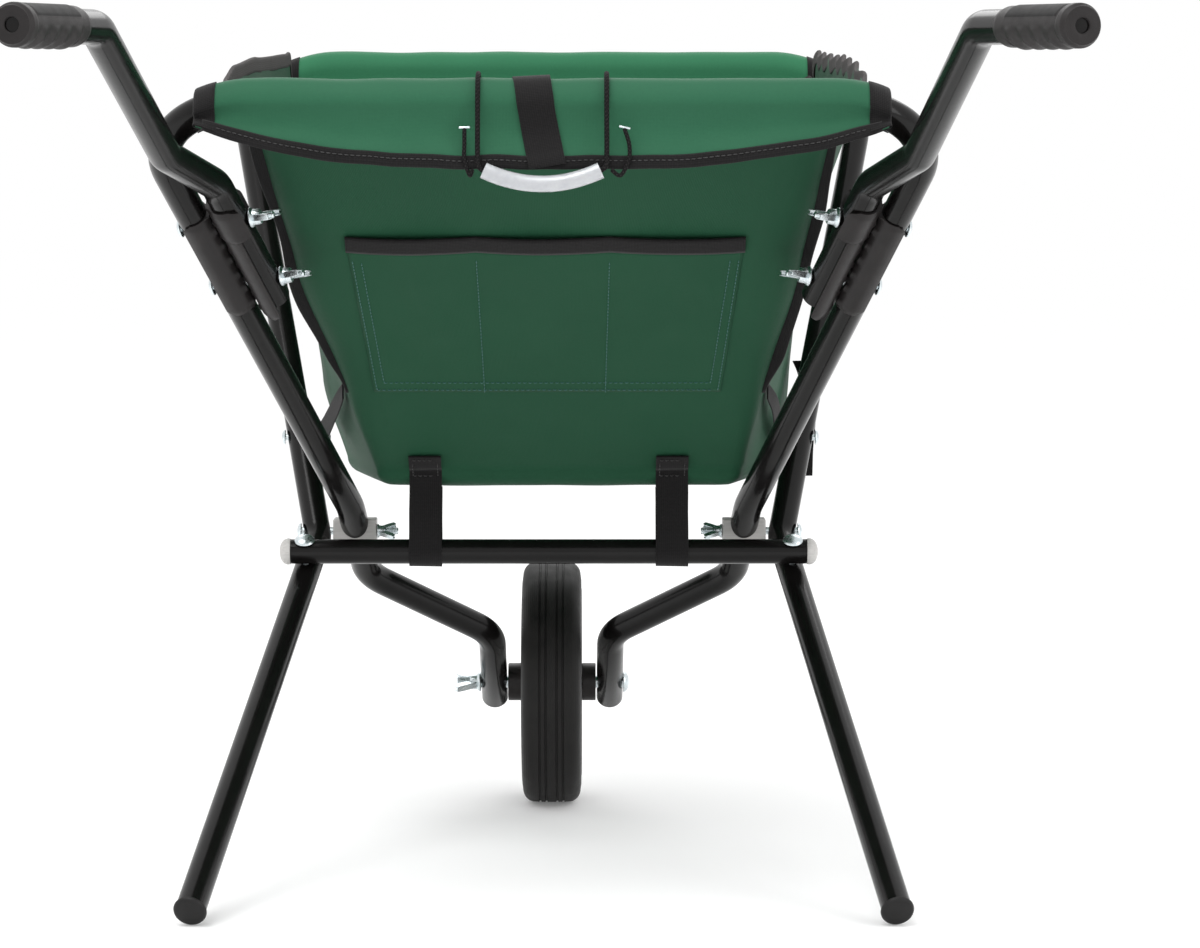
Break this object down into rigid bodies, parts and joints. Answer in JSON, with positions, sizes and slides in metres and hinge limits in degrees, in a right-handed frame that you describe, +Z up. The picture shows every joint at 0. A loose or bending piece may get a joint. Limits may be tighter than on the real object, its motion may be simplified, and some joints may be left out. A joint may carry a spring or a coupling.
{
  "type": "folding wheelbarrow",
  "caption": "Folding garden barrow: crossed bent-tube frames, fabric tub with rear pocket, clamped handles with moulded grips, carry loop, splayed legs and a single front wheel.",
  "frame": {"origin": "on the floor, under the middle of the barrow's overall box, standing open on its wheel and two legs", "axes": "+X to the right, +Y forward from the grips to the wheel, +Z up"},
  "size_m": [0.6533, 1.1359, 0.63],
  "materials": {
    "gloss_black_paint": "gloss",
    "black_plastic": "satin",
    "grip_rubber": "matte",
    "tyre_rubber": "matte",
    "zinc_plate": "bright zinc",
    "grey_plastic": "satin",
    "pale_plastic": "satin",
    "green_fabric": "coated woven cloth",
    "black_webbing": "woven webbing",
    "clear_sleeve": "gloss"
  },
  "bodies": {
    "rear_frame": {"axle_bolt": "zinc_plate", "axle_spacer_left": "black_plastic", "axle_spacer_right": "black_plastic", "axle_wing_nut": "zinc_plate", "clamp_bolt_lower_left": "zinc_plate", "clamp_bolt_lower_right": "zinc_plate", "clamp_bolt_upper_left": "zinc_plate", "clamp_bolt_upper_right": "zinc_plate", "clamp_saddle_frame_left": "black_plastic", "clamp_saddle_frame_right": "black_plastic", "clamp_saddle_handle_left": "black_plastic", "clamp_saddle_handle_right": "black_plastic", "clamp_wing_nut_lower_left": "zinc_plate", "clamp_wing_nut_lower_right": "zinc_plate", "clamp_wing_nut_upper_left": "zinc_plate", "clamp_wing_nut_upper_right": "zinc_plate", "grip_left": "grip_rubber", "grip_right": "grip_rubber", "handle_tube_left": "gloss_black_paint", "handle_tube_right": "gloss_black_paint", "hem_rear": "green_fabric", "pivot_block_left": "grey_plastic", "pivot_block_right": "grey_plastic", "pivot_bolt_left": "zinc_plate", "pivot_bolt_right": "zinc_plate", "pivot_wing_nut_left": "zinc_plate", "pivot_wing_nut_right": "zinc_plate", "pocket_binding": "black_webbing", "pocket_panel": "green_fabric", "rear_frame_tube": "gloss_black_paint", "strap_centre": "black_webbing", "tub": "green_fabric"},
    "front_frame": {"anchor_bolt_left": "zinc_plate", "anchor_bolt_right": "zinc_plate", "anchor_nut_left": "zinc_plate", "anchor_nut_right": "zinc_plate", "anchor_spacer_left": "black_plastic", "anchor_spacer_right": "black_plastic", "crossbar_bolt_left": "zinc_plate", "crossbar_bolt_right": "zinc_plate", "crossbar_cap_left": "grey_plastic", "crossbar_cap_right": "grey_plastic", "crossbar_nut_left": "zinc_plate", "crossbar_nut_right": "zinc_plate", "crossbar_tube": "gloss_black_paint", "foot_cap_left": "black_plastic", "foot_cap_right": "black_plastic", "front_frame_tube": "gloss_black_paint", "hem_front": "green_fabric", "side_strap_left": "black_webbing", "side_strap_right": "black_webbing", "strap_bottom_left": "black_webbing", "strap_bottom_right": "black_webbing"},
    "wheel": {"tyre": "tyre_rubber", "wheel_bush": "grey_plastic", "wheel_rim": "pale_plastic"},
    "carry_handle": {"carry_cord_left": "black_webbing", "carry_cord_right": "black_webbing", "carry_grip": "clear_sleeve"}
  },
  "joints": [
    {"name": "front_fold", "type": "hinge", "parent": "rear_frame", "child": "front_frame", "pos_m": [0, 0.20134, 0.24094], "axis": [1, 0, 0], "range_deg": [0, 80], "deforming": ["pocket_binding", "pocket_panel", "side_strap_left", "side_strap_right", "strap_bottom_left", "strap_bottom_right", "tub"]},
    {"name": "wheel_spin", "type": "hinge", "parent": "rear_frame", "child": "wheel", "pos_m": [0, 0.3925, 0.1], "axis": [1, 0, 0], "continuous": true},
    {"name": "carry_swing", "type": "hinge", "parent": "rear_frame", "child": "carry_handle", "pos_m": [0, -0.23451, 0.56227], "axis": [1, 0, 0], "range_deg": [-55, 0]}
  ]
}
